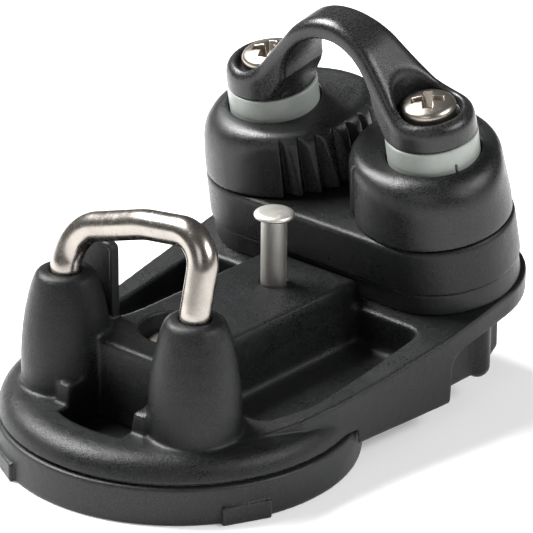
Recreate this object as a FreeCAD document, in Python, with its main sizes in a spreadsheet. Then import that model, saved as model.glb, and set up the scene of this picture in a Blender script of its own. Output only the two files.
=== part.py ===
import FreeCAD, Part
import math
import os
import Sketcher

# Swivelling cam cleat with a wire fairlead, in millimetres.
# Origin: centre of the base ring's underside, on the swivel axis.
# +X runs along the arm to the cleat, +Y to the left-hand cam, +Z up.
# The cleat stack is drawn in its own frame: origin on the tilted platform,
# midway between the two cam axles, z along the axles. One placement tilts it.

doc = FreeCAD.newDocument("cam_cleat")
sheet = doc.addObject("Spreadsheet::Sheet", "Sizes")

SIZES = [
    ("base_radius", 33.0, "outer radius of the fixed base ring"),
    ("base_height", 7.3, "height of the base ring"),
    ("base_edge", 0.4, "chamfer on the base ring's top edge"),
    ("hub_radius", 5.2, "pivot hub on the base ring"),
    ("hub_top", 17.3, "height of the hub's top face"),
    ("index_circle", 25.74, "radius of the lock pin's circle"),
    ("index_radius", 2.7, "radius of each index hole"),
    ("index_count", 12, "number of index holes"),
    ("deck_circle", 18.5, "radius of the deck screw circle"),
    ("deck_hole", 5.5, "deck screw hole diameter"),
    ("deck_sink", 10.4, "deck screw countersink diameter"),
    ("deck_count", 4, "number of deck screw holes"),
    ("tab_width", 9.2, "width of the mould tabs on the ring's side"),
    ("tab_height", 3.5, "height of the mould tabs"),
    ("tab_reach", 33.6, "radius to the face of the mould tabs"),
    ("tab_angle", 243.0, "angle of the first mould tab"),
    ("hollow_inner", 8.5, "inner radius of the ring's hollow underside"),
    ("hollow_outer", 14.2, "outer radius of the ring's hollow underside"),
    ("hollow_depth", 4.0, "depth of the hollow underside"),
    ("glide_inner", 29.3, "inner radius of the glide ring groove"),
    ("glide_outer", 31.2, "outer radius of the glide ring groove"),
    ("glide_depth", 1.4, "depth of the glide ring groove"),
    ("glide_play", 0.05, "play around the glide ring"),
    ("bolt_radius", 3.0, "pivot bolt shank"),
    ("bolt_head", 5.8, "pivot bolt head radius"),
    ("bolt_head_height", 2.2, "pivot bolt head height"),
    ("bolt_play", 0.2, "play around the pivot bolt in the hub"),
    ("bolt_nut_flats", 10.0, "pivot nut across flats"),
    ("bolt_nut_height", 4.8, "pivot nut height"),
    ("nut_play", 0.1, "play round a nut in its pocket"),
    ("washer_radius", 6.4, "pivot washer outer radius"),
    ("washer_thick", 1.2, "pivot washer thickness"),
    ("arm_bottom", 7.6, "underside of the swivelling arm"),
    ("disc_radius", 32.4, "radius of the arm's round end"),
    ("disc_top", 12.0, "top face of the arm's round end"),
    ("disc_round", 3.6, "rounded rim of the arm's round end"),
    ("wall_y", 33.5, "outer face of the side walls"),
    ("wall_inner", 26.9, "inner face of the side walls"),
    ("wall_rear", 37.1, "rear edge of the deep side walls"),
    ("wall_drop", 4.65, "lowest edge of the side walls"),
    ("web_bottom", 5.7, "lower edge of the webs that carry the pegs"),
    ("wall_level", 15.3, "top of the side walls at mid length"),
    ("sweep_radius", 33.6, "round clearance over the base ring"),
    ("pocket_front", -3.5, "front end of the side pockets"),
    ("pocket_rear", 35.4, "rear end of the side pockets"),
    ("pocket_floor", 10.4, "floor of the side pockets"),
    ("hump_half", 11.0, "half width of the centre hump"),
    ("hump_top", 22.6, "top face of the centre hump"),
    ("hump_front", -13.4, "front face of the centre hump"),
    ("hump_rear", 37.1, "rear face of the centre hump"),
    ("channel_half", 7.3, "half width of the front channel"),
    ("channel_radius", 24.2, "front end of the channel, from the pivot"),
    ("rib_outer", 11.3, "outer face of the channel's side ribs"),
    ("rib_front", -20.8, "front end of the channel's side ribs"),
    ("rib_top", 15.8, "top of the channel's side ribs"),
    ("post_x", -12.7, "fairlead post axis, X"),
    ("post_y", 15.4, "fairlead post axis, Y"),
    ("post_foot", 8.2, "fairlead post radius at its foot"),
    ("post_mid", 7.8, "fairlead post radius at mid height"),
    ("post_neck", 4.6, "fairlead post radius at its top"),
    ("post_top", 33.5, "top of the fairlead posts"),
    ("keeper_top", 37.2, "top of the keeper plate behind the left post"),
    ("sink_radius", 6.9, "counterbore over the pivot bolt"),
    ("bush_inner", 5.26, "bore of the pivot bush"),
    ("bush_outer", 6.6, "outside of the pivot bush"),
    ("bush_top", 17.1, "top of the pivot bush and of its seat"),
    ("rod_radius", 2.75, "fairlead rod radius"),
    ("rod_end", 8.1, "lower ends of the fairlead rod"),
    ("rod_nut_flats", 9.0, "fairlead nut across flats"),
    ("rod_nut_height", 3.4, "fairlead nut height"),
    ("tilt", 11.42, "tilt of the cleat, rising away from the base"),
    ("platform_x", 52.83, "centre of the platform, X"),
    ("platform_z", 21.25, "centre of the platform, Z"),
    ("platform_thick", 4.4, "thickness of the platform"),
    ("platform_round", 14.5, "end radius of the platform"),
    ("axle_y", 19.0, "cam axle distance from the centre line"),
    ("wedge_round", 14.0, "end radius of the wedge plate"),
    ("wedge_thick", 4.5, "thickness of the wedge plate"),
    ("plate_round", 14.4, "end radius of the cleat base"),
    ("plate_top", 13.7, "top of the cleat base"),
    ("plate_edge", 0.8, "rounded top edge of the cleat base"),
    ("plate_shift", -0.8, "cleat base centre ahead of the axles"),
    ("screw_hole", 2.7, "screw hole radius through the cleat"),
    ("axle_radius", 6.5, "cam axle part of the bush"),
    ("collar_radius", 8.5, "collar part of the bush"),
    ("collar_bottom", 24.7, "underside of the collar"),
    ("collar_top", 30.56, "top of the collar"),
    ("cam_bottom", 14.0, "underside of the cams"),
    ("cam_top", 26.4, "top of the cams"),
    ("cam_round", 14.0, "radius of a cam's plain back"),
    ("cam_shift", -1.05, "centre of the plain back ahead of the axle"),
    ("cam_draft", 5.2, "draft of the cam's sides"),
    ("heel_x", 17.0, "heel where the nose ends, behind the axle"),
    ("heel_y", 7.2, "heel where the nose ends, inside the axle"),
    ("heel_radius", 20.4, "radius of the cam between heel and back"),
    ("tip_radius", 10.0, "radius of the cam between nose and heel"),
    ("cheek_radius", 20.0, "radius of the cam between back and nose"),
    ("cam_shoulder", 2.4, "rounded shoulder of the cams"),
    ("nose_radius", 17.1, "radius of the eccentric toothed nose"),
    ("nose_shift", 3.0, "distance from axle to the nose's centre"),
    ("nose_angle", 60.0, "direction of the nose's centre"),
    ("nose_start", -68.0, "angle where the nose begins, towards the base"),
    ("nose_finish", 40.0, "angle where the nose ends, away from the base"),
    ("back_start", 136.0, "angle where the plain back begins"),
    ("back_finish", -95.0, "angle where the plain back ends"),
    ("cam_bore", 6.57, "bore of a cam"),
    ("cam_recess", 8.8, "recess of a cam round the collar"),
    ("cam_recess_floor", 24.4, "floor of that recess"),
    ("dish_radius", 10.3, "shallow dish round the collar"),
    ("dish_depth", 0.8, "depth of the dish"),
    ("spring_room", 9.2, "radius of the spring room under a cam"),
    ("spring_room_top", 18.8, "top of the spring room"),
    ("spring_radius", 7.9, "coil radius of the return spring"),
    ("spring_wire", 0.4, "wire radius of the return spring"),
    ("spring_pitch", 1.2, "pitch of the return spring"),
    ("spring_start", 14.12, "first coil of the return spring"),
    ("flute_lead", 11.0, "angle from the nose's start to the first flute"),
    ("flute_depth", 1.9, "depth of each flute between teeth"),
    ("flute_ramp", 10.5, "angle over which a flute runs out"),
    ("flute_step", 12.4, "angle between flutes"),
    ("flute_count", 7, "number of flutes on a cam"),
    ("strap_width", 9.8, "width of the strap at its crown"),
    ("strap_boss", 8.4, "radius of the strap's bosses"),
    ("strap_boss_top", 35.6, "flat top of the strap's bosses"),
    ("strap_arch", 10.4, "radius of the arch under the strap"),
    ("strap_arch_z", 35.8, "centre height of that arch"),
    ("crown_radius", 12.6, "radius of the strap's crown"),
    ("crown_z", 37.0, "centre height of the crown"),
    ("flank_angle", 52.0, "slope of the strap between crown and boss"),
    ("flank_blend", 7.0, "radius blending the flank into the boss"),
    ("head_radius", 5.08, "cleat screw head radius"),
    ("head_seat", 33.8, "underside of the cleat screw heads"),
    ("head_rim", 36.9, "upper edge of the cleat screw heads"),
    ("head_top", 37.5, "top of the cleat screw heads"),
    ("head_room", 5.9, "recess in the strap round a screw head"),
    ("screw_radius", 2.5, "cleat screw shank"),
    ("screw_end", -10.0, "lower end of the cleat screws"),
    ("screw_washer", 5.0, "cleat washer radius"),
    ("screw_washer_thick", 1.0, "cleat washer thickness"),
    ("screw_nut_flats", 8.0, "cleat nut across flats"),
    ("screw_nut_height", 4.0, "cleat nut height"),
    ("pin_radius", 2.4, "lock pin shank"),
    ("pin_play", 0.06, "play of the lock pin in the hump"),
    ("pin_head", 3.7, "lock pin head radius"),
    ("pin_head_thick", 1.1, "lock pin head thickness"),
    ("pin_top", 36.7, "top of the raised lock pin"),
    ("pin_bottom", 8.1, "lower end of the raised lock pin"),
    ("peg_x", 49.2, "peg under the platform, X"),
    ("peg_y", 29.3, "peg under the platform, Y"),
    ("peg_radius", 2.4, "radius of the peg"),
    ("peg_bottom", 4.6, "lower end of the peg"),
]

for row, (alias, value, note) in enumerate(SIZES, start=1):
    sheet.set("A%d" % row, note)
    sheet.set("B%d" % row, str(value))
    sheet.setAlias("B%d" % row, alias)
doc.recompute()


class Size:
    """A length that knows both its number and the sheet formula behind it."""

    def __init__(self, value, text):
        self.value = value
        self.text = text

    def _join(self, other, sign, result, swapped=False):
        text = other.text if isinstance(other, Size) else repr(float(other))
        left, right = (text, self.text) if swapped else (self.text, text)
        return Size(result, "(%s %s %s)" % (left, sign, right))

    def __add__(self, other):
        return self._join(other, "+", self.value + number(other))

    def __radd__(self, other):
        return self._join(other, "+", number(other) + self.value, True)

    def __sub__(self, other):
        return self._join(other, "-", self.value - number(other))

    def __rsub__(self, other):
        return self._join(other, "-", number(other) - self.value, True)

    def __mul__(self, other):
        return self._join(other, "*", self.value * number(other))

    def __rmul__(self, other):
        return self._join(other, "*", number(other) * self.value, True)

    def __truediv__(self, other):
        return self._join(other, "/", self.value / number(other))

    def __neg__(self):
        return 0 - self


def number(length):
    return length.value if isinstance(length, Size) else float(length)


def size(alias):
    return Size(float(sheet.get(alias)), "Sizes." + alias)


def bind(thing, path, length):
    if isinstance(length, Size):
        thing.setExpression(path, length.text)


def cosine(angle):
    return Size(math.cos(math.radians(angle.value)), "cos(%s * 1deg)" % angle.text)


def sine(angle):
    return Size(math.sin(math.radians(angle.value)), "sin(%s * 1deg)" % angle.text)


# ---- sketches and features -------------------------------------------------

def body(name):
    made = doc.addObject("PartDesign::Body", name)
    made.Label = name
    return made


def sketch(owner, name, plane="XY_Plane", lift=None, shift=None, turn=None):
    made = owner.newObject("Sketcher::SketchObject", name)
    support = [f for f in owner.Origin.OriginFeatures if f.Role == plane][0]
    made.AttachmentSupport = [(support, "")]
    made.MapMode = "FlatFace"
    if lift is not None:
        made.AttachmentOffset.Base.z = number(lift)
        bind(made, "AttachmentOffset.Base.z", lift)
    if shift is not None:
        bind(made, "AttachmentOffset.Base.x", shift[0])
        bind(made, "AttachmentOffset.Base.y", shift[1])
    if turn is not None:
        bind(made, "AttachmentOffset.Rotation.Angle", turn)
    return made


def tilt_placement(made, key):
    turned = FreeCAD.Rotation(FreeCAD.Vector(0, -1, 0), size("tilt").value)
    spot = FreeCAD.Vector(size("platform_x").value, 0, size("platform_z").value)
    setattr(made, key, FreeCAD.Placement(spot, turned))
    bind(made, key + ".Base.x", size("platform_x"))
    bind(made, key + ".Base.z", size("platform_z"))
    bind(made, key + ".Rotation.Angle", size("tilt"))


def fix_point(made, geo, end, x, y):
    for kind, axis, length in (("DistanceX", -2, x), ("DistanceY", -1, y)):
        if abs(number(length)) < 1e-9:
            made.addConstraint(Sketcher.Constraint("PointOnObject", geo, end, axis))
        else:
            index = made.addConstraint(
                Sketcher.Constraint(kind, -1, 1, geo, end, number(length)))
            bind(made, "Constraints[%d]" % index, length)


def circle(made, x, y, radius):
    centre = FreeCAD.Vector(number(x), number(y), 0)
    up = FreeCAD.Vector(0, 0, 1)
    geo = made.addGeometry(Part.Circle(centre, up, number(radius)), False)
    index = made.addConstraint(Sketcher.Constraint("Radius", geo, number(radius)))
    bind(made, "Constraints[%d]" % index, radius)
    fix_point(made, geo, 3, x, y)
    return geo


def arc_between(start, end, radius, left):
    """Minor arc from start to end; left says which side its centre is on."""
    chord = end - start
    middle = (start + end) * 0.5
    normal = FreeCAD.Vector(-chord.y, chord.x, 0)
    normal.normalize()
    rise = math.sqrt(max(radius ** 2 - (chord.Length / 2) ** 2, 0.0))
    centre = middle + normal * (rise if left else -rise)
    first = start if left else end
    last = end if left else start
    begin = math.atan2(first.y - centre.y, first.x - centre.x)
    finish = math.atan2(last.y - centre.y, last.x - centre.x)
    if finish < begin:
        finish += 2 * math.pi
    full = Part.Circle(centre, FreeCAD.Vector(0, 0, 1), radius)
    return Part.ArcOfCircle(full, begin, finish)


def outline(made, points, arcs=None):
    """Closed outline. arcs maps a segment's number to (radius, centre on left)."""
    arcs = arcs or {}
    spots = [FreeCAD.Vector(number(x), number(y), 0) for x, y in points]
    ends = []
    for i, start in enumerate(spots):
        end = spots[(i + 1) % len(spots)]
        if i in arcs:
            radius, left = arcs[i]
            geo = made.addGeometry(arc_between(start, end, number(radius), left), False)
            ends.append((geo, 1 if left else 2, 2 if left else 1))
        else:
            geo = made.addGeometry(Part.LineSegment(start, end), False)
            ends.append((geo, 1, 2))
    for i, (geo, _, last) in enumerate(ends):
        following, first, _ = ends[(i + 1) % len(ends)]
        made.addConstraint(Sketcher.Constraint("Coincident", geo, last, following, first))
    for (geo, first, _), (x, y) in zip(ends, points):
        fix_point(made, geo, first, x, y)
    for i, (radius, _) in arcs.items():
        geo = ends[i][0]
        index = made.addConstraint(Sketcher.Constraint("Radius", geo, number(radius)))
        bind(made, "Constraints[%d]" % index, radius)


def dome_radius(radius, rise):
    return (radius * radius + rise * rise) / (2 * rise)


def box_outline(made, x0, x1, y0, y1):
    outline(made, [(x0, y0), (x1, y0), (x1, y1), (x0, y1)])


def hexagon(made, flats, x=0.0, y=0.0):
    corner = flats / math.sqrt(3.0)
    half = flats / 2.0
    outline(made, [(x + corner, y), (x + corner / 2.0, y + half),
                   (x - corner / 2.0, y + half), (x - corner, y),
                   (x - corner / 2.0, y - half), (x + corner / 2.0, y - half)])


def stadium(made, radius, shift=0.0):
    """Long round-ended outline whose end centres are the two cam axles."""
    y = size("axle_y")
    outline(made,
            [(shift + radius, -y), (shift + radius, y),
             (shift, y + radius), (shift - radius, y),
             (shift - radius, -y), (shift, -y - radius)],
            {1: (radius, True), 2: (radius, True), 4: (radius, True), 5: (radius, True)})


def feature(owner, kind, name, profile, **settings):
    made = owner.newObject("PartDesign::" + kind, name)
    made.Profile = profile
    for key, value in settings.items():
        if isinstance(value, Size):
            setattr(made, key, value.value)
            bind(made, key, value)
        else:
            setattr(made, key, value)
    profile.Visibility = False
    owner.Tip = made
    return made


def pad(owner, name, profile, length, **settings):
    return feature(owner, "Pad", name, profile, Length=length, **settings)


def pocket(owner, name, profile, length=None, **settings):
    if length is None:
        return feature(owner, "Pocket", name, profile, Type="ThroughAll", **settings)
    return feature(owner, "Pocket", name, profile, Length=length, **settings)


def spin(owner, kind, name, profile):
    """Full turn about the sketch's own upright axis."""
    return feature(owner, kind, name, profile,
                   ReferenceAxis=(profile, ["V_Axis"]), Angle=360.0)


def around(owner, name, originals, profile, count, angle=360.0):
    made = owner.newObject("PartDesign::PolarPattern", name)
    made.Originals = originals
    made.Axis = (profile, ["N_Axis"])
    made.Angle = number(angle)
    bind(made, "Angle", angle)
    made.Occurrences = int(number(count))
    bind(made, "Occurrences", count)
    owner.Tip = made
    return made


def edge_names(shape, wanted):
    return ["Edge%d" % (i + 1) for i, edge in enumerate(shape.Edges) if wanted(edge)]


def dress(owner, kind, name, base, wanted, length):
    """Fillet or chamfer the edges of base that wanted() picks."""
    doc.recompute()
    made = owner.newObject("PartDesign::" + kind, name)
    made.Base = (base, edge_names(base.Shape, wanted))
    key = "Radius" if kind == "Fillet" else "Size"
    setattr(made, key, number(length))
    bind(made, key, length)
    owner.Tip = made
    return made


def at_height(z):
    def wanted(edge):
        box = edge.BoundBox
        return abs(box.ZMin - z) < 1e-4 and abs(box.ZMax - z) < 1e-4
    return wanted


def mirrored(name, source):
    made = doc.addObject("Part::Mirroring", name)
    made.Source = source
    made.Base = FreeCAD.Vector(0, 0, 0)
    made.Normal = FreeCAD.Vector(0, 1, 0)
    return made


def pair(name, source):
    """Two equal pieces, left and right, under one name."""
    made = doc.addObject("Part::MultiFuse", name)
    made.Shapes = [source, mirrored(name + "_twin", source)]
    made.Label = name
    return made


def on_platform(made):
    """Tilt a piece of the cleat stack onto the arm's platform."""
    tilt_placement(made, "Placement")
    return made


nodes = []

# ---- base ring -------------------------------------------------------------

base = body("base_ring")
plan = sketch(base, "base_plan")
circle(plan, 0, 0, size("base_radius"))
disc = pad(base, "base_disc", plan, size("base_height"))
disc = dress(base, "Chamfer", "base_rim", disc,
             at_height(size("base_height").value), size("base_edge"))

plan = sketch(base, "hub_plan")
circle(plan, 0, 0, size("hub_radius"))
pad(base, "hub", plan, size("hub_top"))

plan = sketch(base, "tab_plan", turn=size("tab_angle"))
box_outline(plan, size("glide_inner"), size("tab_reach"),
            -size("tab_width") / 2, size("tab_width") / 2)
tab = pad(base, "tab", plan, size("tab_height"))
around(base, "tabs", [tab], plan, 4)

plan = sketch(base, "hollow_plan")
circle(plan, 0, 0, size("hollow_inner"))
circle(plan, 0, 0, size("hollow_outer"))
pocket(base, "hollow", plan, size("hollow_depth"), Reversed=True)

plan = sketch(base, "nut_pocket_plan")
hexagon(plan, size("bolt_nut_flats") + 2 * size("nut_play"))
pocket(base, "nut_pocket", plan,
       size("bolt_nut_height") + size("nut_play") + 0.3, Reversed=True)

plan = sketch(base, "bolt_bore_plan")
circle(plan, 0, 0, size("bolt_radius") + size("bolt_play"))
pocket(base, "bolt_bore", plan, Midplane=True)

plan = sketch(base, "index_plan")
circle(plan, size("index_circle"), 0, size("index_radius"))
hole = pocket(base, "index_hole", plan, Midplane=True)
around(base, "index_holes", [hole], plan, size("index_count"))

plan = sketch(base, "groove_plan", lift=size("base_height"))
circle(plan, 0, 0, size("glide_inner"))
circle(plan, 0, 0, size("glide_outer"))
pocket(base, "glide_groove", plan, size("glide_depth"))

doc.recompute()
across = size("deck_circle") * math.sqrt(0.5)
plan = sketch(base, "deck_plan", lift=size("base_height"))
circle(plan, across, across, size("deck_hole") / 2)
hole = feature(base, "Hole", "deck_hole", plan, Diameter=size("deck_hole"),
               DepthType="ThroughAll", HoleCutType="Countersink",
               HoleCutDiameter=size("deck_sink"), HoleCutCountersinkAngle=90.0)
around(base, "deck_holes", [hole], plan, size("deck_count"))
nodes.append(base)

# ---- glide ring ------------------------------------------------------------

glide = body("glide_ring")
plan = sketch(glide, "glide_plan", lift=size("base_height") - size("glide_depth"))
circle(plan, 0, 0, size("glide_inner") + size("glide_play"))
circle(plan, 0, 0, size("glide_outer") - size("glide_play"))
pad(glide, "glide", plan, size("glide_depth") + 0.2)
nodes.append(glide)

# ---- pivot bolt, washer, nut and bush --------------------------------------

washer = body("pivot_washer")
plan = sketch(washer, "washer_plan", lift=size("hub_top"))
circle(plan, 0, 0, size("washer_radius"))
circle(plan, 0, 0, size("bolt_radius") + 0.1)
disc = pad(washer, "washer", plan, size("washer_thick"))
nodes.append(washer)

bolt = body("pivot_bolt")
seat = size("hub_top") + size("washer_thick")
top = seat + size("bolt_head_height")
plan = sketch(bolt, "bolt_profile", "XZ_Plane")
outline(plan, [(0, 0.5), (size("bolt_radius") - 0.4, 0.5), (size("bolt_radius"), 0.9),
               (size("bolt_radius"), seat), (size("bolt_head"), seat),
               (size("bolt_head"), seat + 0.9), (0, top)],
        {5: (dome_radius(size("bolt_head"), size("bolt_head_height") - 0.9), True)})
spin(bolt, "Revolution", "bolt", plan)
plan = sketch(bolt, "bolt_cross", lift=top + 0.1)
arm_half = 0.55
reach = 2.6
outline(plan, [(reach, -arm_half), (reach, arm_half), (arm_half, arm_half),
               (arm_half, reach), (-arm_half, reach), (-arm_half, arm_half),
               (-reach, arm_half), (-reach, -arm_half), (-arm_half, -arm_half),
               (-arm_half, -reach), (arm_half, -reach), (arm_half, -arm_half)])
pocket(bolt, "bolt_recess", plan, 1.5)
nodes.append(bolt)

nut = body("pivot_nut")
plan = sketch(nut, "nut_plan", lift=Size(0.3, "0.3"))
hexagon(plan, size("bolt_nut_flats"))
circle(plan, 0, 0, size("bolt_radius") + 0.02)
pad(nut, "nut", plan, size("bolt_nut_height"))
nodes.append(nut)

bush = body("pivot_bush")
plan = sketch(bush, "bush_plan", lift=size("arm_bottom") + 0.05)
circle(plan, 0, 0, size("bush_inner"))
circle(plan, 0, 0, size("bush_outer"))
pad(bush, "bush", plan, size("bush_top") - size("arm_bottom") - 0.05)
nodes.append(bush)

# ---- swivelling arm --------------------------------------------------------

arm = body("swivel_arm")
slope = sine(size("tilt")) / cosine(size("tilt"))
end = size("platform_round")
px = size("platform_x")
pz = size("platform_z")
wall = size("wall_y")
far = px + end
lift_end = end * slope

# plan of the wedge-shaped part that widens from the posts to the platform
plan = sketch(arm, "arm_plan", lift=size("wall_drop"))
half = [(-12.0, 23.8), (0.0, 29.3), (18.0, 31.4), (44.0, 33.4), (px, wall),
        (far, size("axle_y"))]
outline(plan,
        [(x, -y) for x, y in half] + [(x, y) for x, y in reversed(half)],
        {4: (end, True), 6: (end, True)})
pad(arm, "arm_blank", plan, 22.0)

# side view: everything above the top line is cut away
plan = sketch(arm, "arm_top_line", "XZ_Plane")
front = px - 17.0
outline(plan, [(-40, 12.1), (-10, 12.1), (0, 13.6), (18, size("wall_level")),
               (front, pz - 17.0 * slope),
               (far + 10, pz + (end + 10.0) * slope), (far + 10, 40), (-40, 40)])
pocket(arm, "arm_top", plan, Midplane=True)

# side view: everything below the bottom line is cut away
under = size("platform_thick") / cosine(size("tilt"))
rear = size("wall_rear")
corner = rear + 3.6
plan = sketch(arm, "arm_bottom_line", "XZ_Plane")
outline(plan, [(-40, size("wall_drop")), (rear, size("wall_drop")),
               (rear + 0.4, pz - under - (px - corner) * slope - 3.0),
               (corner, pz - under - (px - corner) * slope),
               (far + 10, pz - under + (end + 10.0) * slope),
               (far + 10, -5), (-40, -5)],
        {2: (3.4, False)})
pocket(arm, "arm_underside", plan, Midplane=True)

plan = sketch(arm, "sweep_plan", lift=size("arm_bottom"))
circle(plan, 0, 0, size("sweep_radius"))
pocket(arm, "base_clearance", plan, size("arm_bottom"))

plan = sketch(arm, "disc_profile", "XZ_Plane")
rim = size("disc_radius")
brow = size("disc_round")
outline(plan, [(0, size("arm_bottom")), (rim, size("arm_bottom")),
               (rim, size("disc_top") - brow), (rim - brow, size("disc_top")),
               (0, size("disc_top"))],
        {2: (brow, True)})
spin(arm, "Revolution", "arm_disc", plan)
nodes.append(arm)

# centre hump, flaring out to the two posts at its front
flare = size("hump_half") + 5.5
plan = sketch(arm, "hump_plan", lift=size("arm_bottom"))
outline(plan, [(size("hump_front"), -flare), (-8.5, -flare), (-4.0, -size("hump_half") - 0.8),
               (3.0, -size("hump_half")), (size("hump_rear"), -size("hump_half")),
               (size("hump_rear"), size("hump_half")), (3.0, size("hump_half")),
               (-4.0, size("hump_half") + 0.8), (-8.5, flare), (size("hump_front"), flare)])
pad(arm, "hump", plan, size("hump_top") - size("arm_bottom"))

# pockets between the hump and the side walls, one on each side
plan = sketch(arm, "pocket_plan", lift=Size(40.0, "40"))
inner = size("hump_half")
outer = size("wall_inner")
for side in (-1, 1):
    near = inner * side
    rim = outer * side
    corners = [(size("pocket_front"), near + 0.8 * side), (3.0, near),
               (size("pocket_rear"), near), (size("pocket_rear"), rim - 3.0 * side),
               (size("pocket_rear") - 3.0, rim), (5.5, rim),
               (size("pocket_front"), rim - 3.4 * side)]
    outline(plan, corners, {3: (3.0, side > 0)})
pocket(arm, "side_pockets", plan, 40.0 - size("pocket_floor"))

# ribs beside the front channel
plan = sketch(arm, "rib_plan", lift=size("arm_bottom"))
for side in (-1, 1):
    box_outline(plan, size("rib_front"), size("hump_front") + 1.0,
                size("channel_half") * side, size("rib_outer") * side)
pad(arm, "ribs", plan, size("rib_top") - size("arm_bottom"))

# channel through the disc between the posts
plan = sketch(arm, "channel_plan", lift=size("rib_top"))
tip = -math.sqrt(size("channel_radius").value ** 2 - size("channel_half").value ** 2)
outline(plan, [(size("hump_front"), -size("channel_half")),
               (size("hump_front"), size("channel_half")),
               (tip, size("channel_half")), (tip, -size("channel_half"))],
        {2: (size("channel_radius"), True)})
pocket(arm, "channel", plan, size("rib_top"))

# bullet-shaped fairlead posts
px_post = size("post_x")
for side, tag in ((-1, "right"), (1, "left")):
    plan = sketch(arm, "post_profile_" + tag, "XZ_Plane",
                  lift=size("post_y") * (-side), shift=(px_post, Size(0.0, "0")))
    outline(plan, [(0, size("arm_bottom")), (size("post_foot") - 0.1, size("arm_bottom")),
                   (size("post_foot"), 17.0), (size("post_mid"), 23.0),
                   (6.6, 29.0), (size("post_neck") + 0.9, size("post_top") - 1.0),
                   (size("post_neck"), size("post_top")), (0, size("post_top"))])
    spin(arm, "Revolution", "post_" + tag, plan)

# keeper plate standing behind the left post
plan = sketch(arm, "keeper_profile", "YZ_Plane", lift=Size(-5.8, "-5.8"))
outline(plan, [(10.6, size("arm_bottom") + 3.0), (20.0, size("arm_bottom") + 3.0),
               (20.0, size("keeper_top") - 1.5), (18.5, size("keeper_top")),
               (12.1, size("keeper_top")), (10.6, size("keeper_top") - 1.5)],
        {2: (1.5, True), 4: (1.5, True)})
pad(arm, "keeper", plan, 2.1)

# peg and rib under each side of the platform
for side, tag in ((-1, "right"), (1, "left")):
    spot = size("peg_y") * side
    plan = sketch(arm, "peg_rib_plan_" + tag, "XZ_Plane", lift=-spot - 0.8)
    hung = pz - under - 0.5 - (px - size("peg_x")) * slope + 1.2
    outline(plan, [(rear - 1.5, size("web_bottom")), (size("peg_x"), size("web_bottom")),
                   (size("peg_x") + 5.2, size("peg_bottom") + 4.6),
                   (size("peg_x") + 5.2, hung + 0.6), (rear - 1.5, hung - 2.4)])
    pad(arm, "peg_rib_" + tag, plan, 1.6)
    plan = sketch(arm, "peg_profile_" + tag, "XZ_Plane", lift=-spot,
                  shift=(size("peg_x"), Size(0.0, "0")))
    outline(plan, [(0, size("peg_bottom")),
                   (size("peg_radius"), size("peg_bottom") + size("peg_radius")),
                   (size("peg_radius"), hung), (0, hung)],
            {0: (size("peg_radius"), True)})
    spin(arm, "Revolution", "peg_" + tag, plan)

# bores: pivot bush, bolt head room, lock pin, fairlead legs and nuts, cleat screws
plan = sketch(arm, "bush_bore_plan", lift=size("bush_top"))
circle(plan, 0, 0, size("bush_outer"))
pocket(arm, "bush_bore", plan, size("bush_top"))
plan = sketch(arm, "sink_plan", lift=size("hump_top"))
circle(plan, 0, 0, size("sink_radius"))
pocket(arm, "bolt_sink", plan, size("hump_top") - size("bush_top"))
plan = sketch(arm, "pin_bore_plan", lift=size("hump_top"))
circle(plan, size("index_circle"), 0, size("pin_radius") + size("pin_play"))
pocket(arm, "pin_bore", plan, size("hump_top"))
for side, tag in ((-1, "right"), (1, "left")):
    plan = sketch(arm, "rod_bore_plan_" + tag, lift=size("post_top") + 1.0)
    circle(plan, px_post, size("post_y") * side, size("rod_radius") + 0.03)
    pocket(arm, "rod_bore_" + tag, plan, size("post_top") + 1.0)
    plan = sketch(arm, "rod_nut_plan_" + tag, lift=size("arm_bottom"))
    hexagon(plan, size("rod_nut_flats") + 2 * size("nut_play"), px_post, size("post_y") * side)
    pocket(arm, "rod_nut_pocket_" + tag, plan, size("rod_nut_height") + 0.5, Reversed=True)
plan = sketch(arm, "screw_bore_plan")
tilt_placement(plan, "AttachmentOffset")
for side in (-1, 1):
    circle(plan, 0, size("axle_y") * side, size("screw_hole"))
pocket(arm, "screw_bores", plan, Midplane=True)

# ---- wire fairlead ---------------------------------------------------------

def rounded_path(corners, radii):
    """Straight runs joined by tangent arcs at the inner corners."""
    parts = []
    last = corners[0]
    for i, radius in enumerate(radii, start=1):
        into = (corners[i] - corners[i - 1]).normalize()
        away = (corners[i + 1] - corners[i]).normalize()
        turn = into.getAngle(away)
        back = radius * math.tan(turn / 2.0)
        first = corners[i] - into * back
        final = corners[i] + away * back
        inward = (away - into).normalize()
        centre = corners[i] + inward * (radius / math.cos(turn / 2.0))
        middle = centre - inward * radius
        parts.append(Part.makeLine(last, first))
        parts.append(Part.Arc(first, middle, final).toShape())
        last = final
    parts.append(Part.makeLine(last, corners[-1]))
    return Part.Wire(parts)


def swept(wire, radius):
    start = wire.Edges[0].valueAt(wire.Edges[0].FirstParameter)
    along = wire.Edges[0].tangentAt(wire.Edges[0].FirstParameter)
    ring = Part.Wire(Part.Circle(start, along, radius).toShape())
    return wire.makePipeShell([ring], True, True)


leg = size("post_x").value
side = size("post_y").value
low = size("rod_end").value
lean = size("post_top").value + 0.7
rod_path = rounded_path(
    [FreeCAD.Vector(leg, side, low), FreeCAD.Vector(leg, side, lean),
     FreeCAD.Vector(leg + 2.4, side, 40.7), FreeCAD.Vector(leg + 3.0, -1.2, 46.0),
     FreeCAD.Vector(leg + 3.3, -side, 47.9), FreeCAD.Vector(leg, -side, lean),
     FreeCAD.Vector(leg, -side, low)],
    [5.0, 8.0, 17.5, 5.5, 5.0])
rod = doc.addObject("Part::Feature", "u_bolt")
rod.Label = "u_bolt"
rod.Shape = swept(rod_path, size("rod_radius").value)
rod.Placement = FreeCAD.Placement()
nodes.append(rod)

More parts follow.
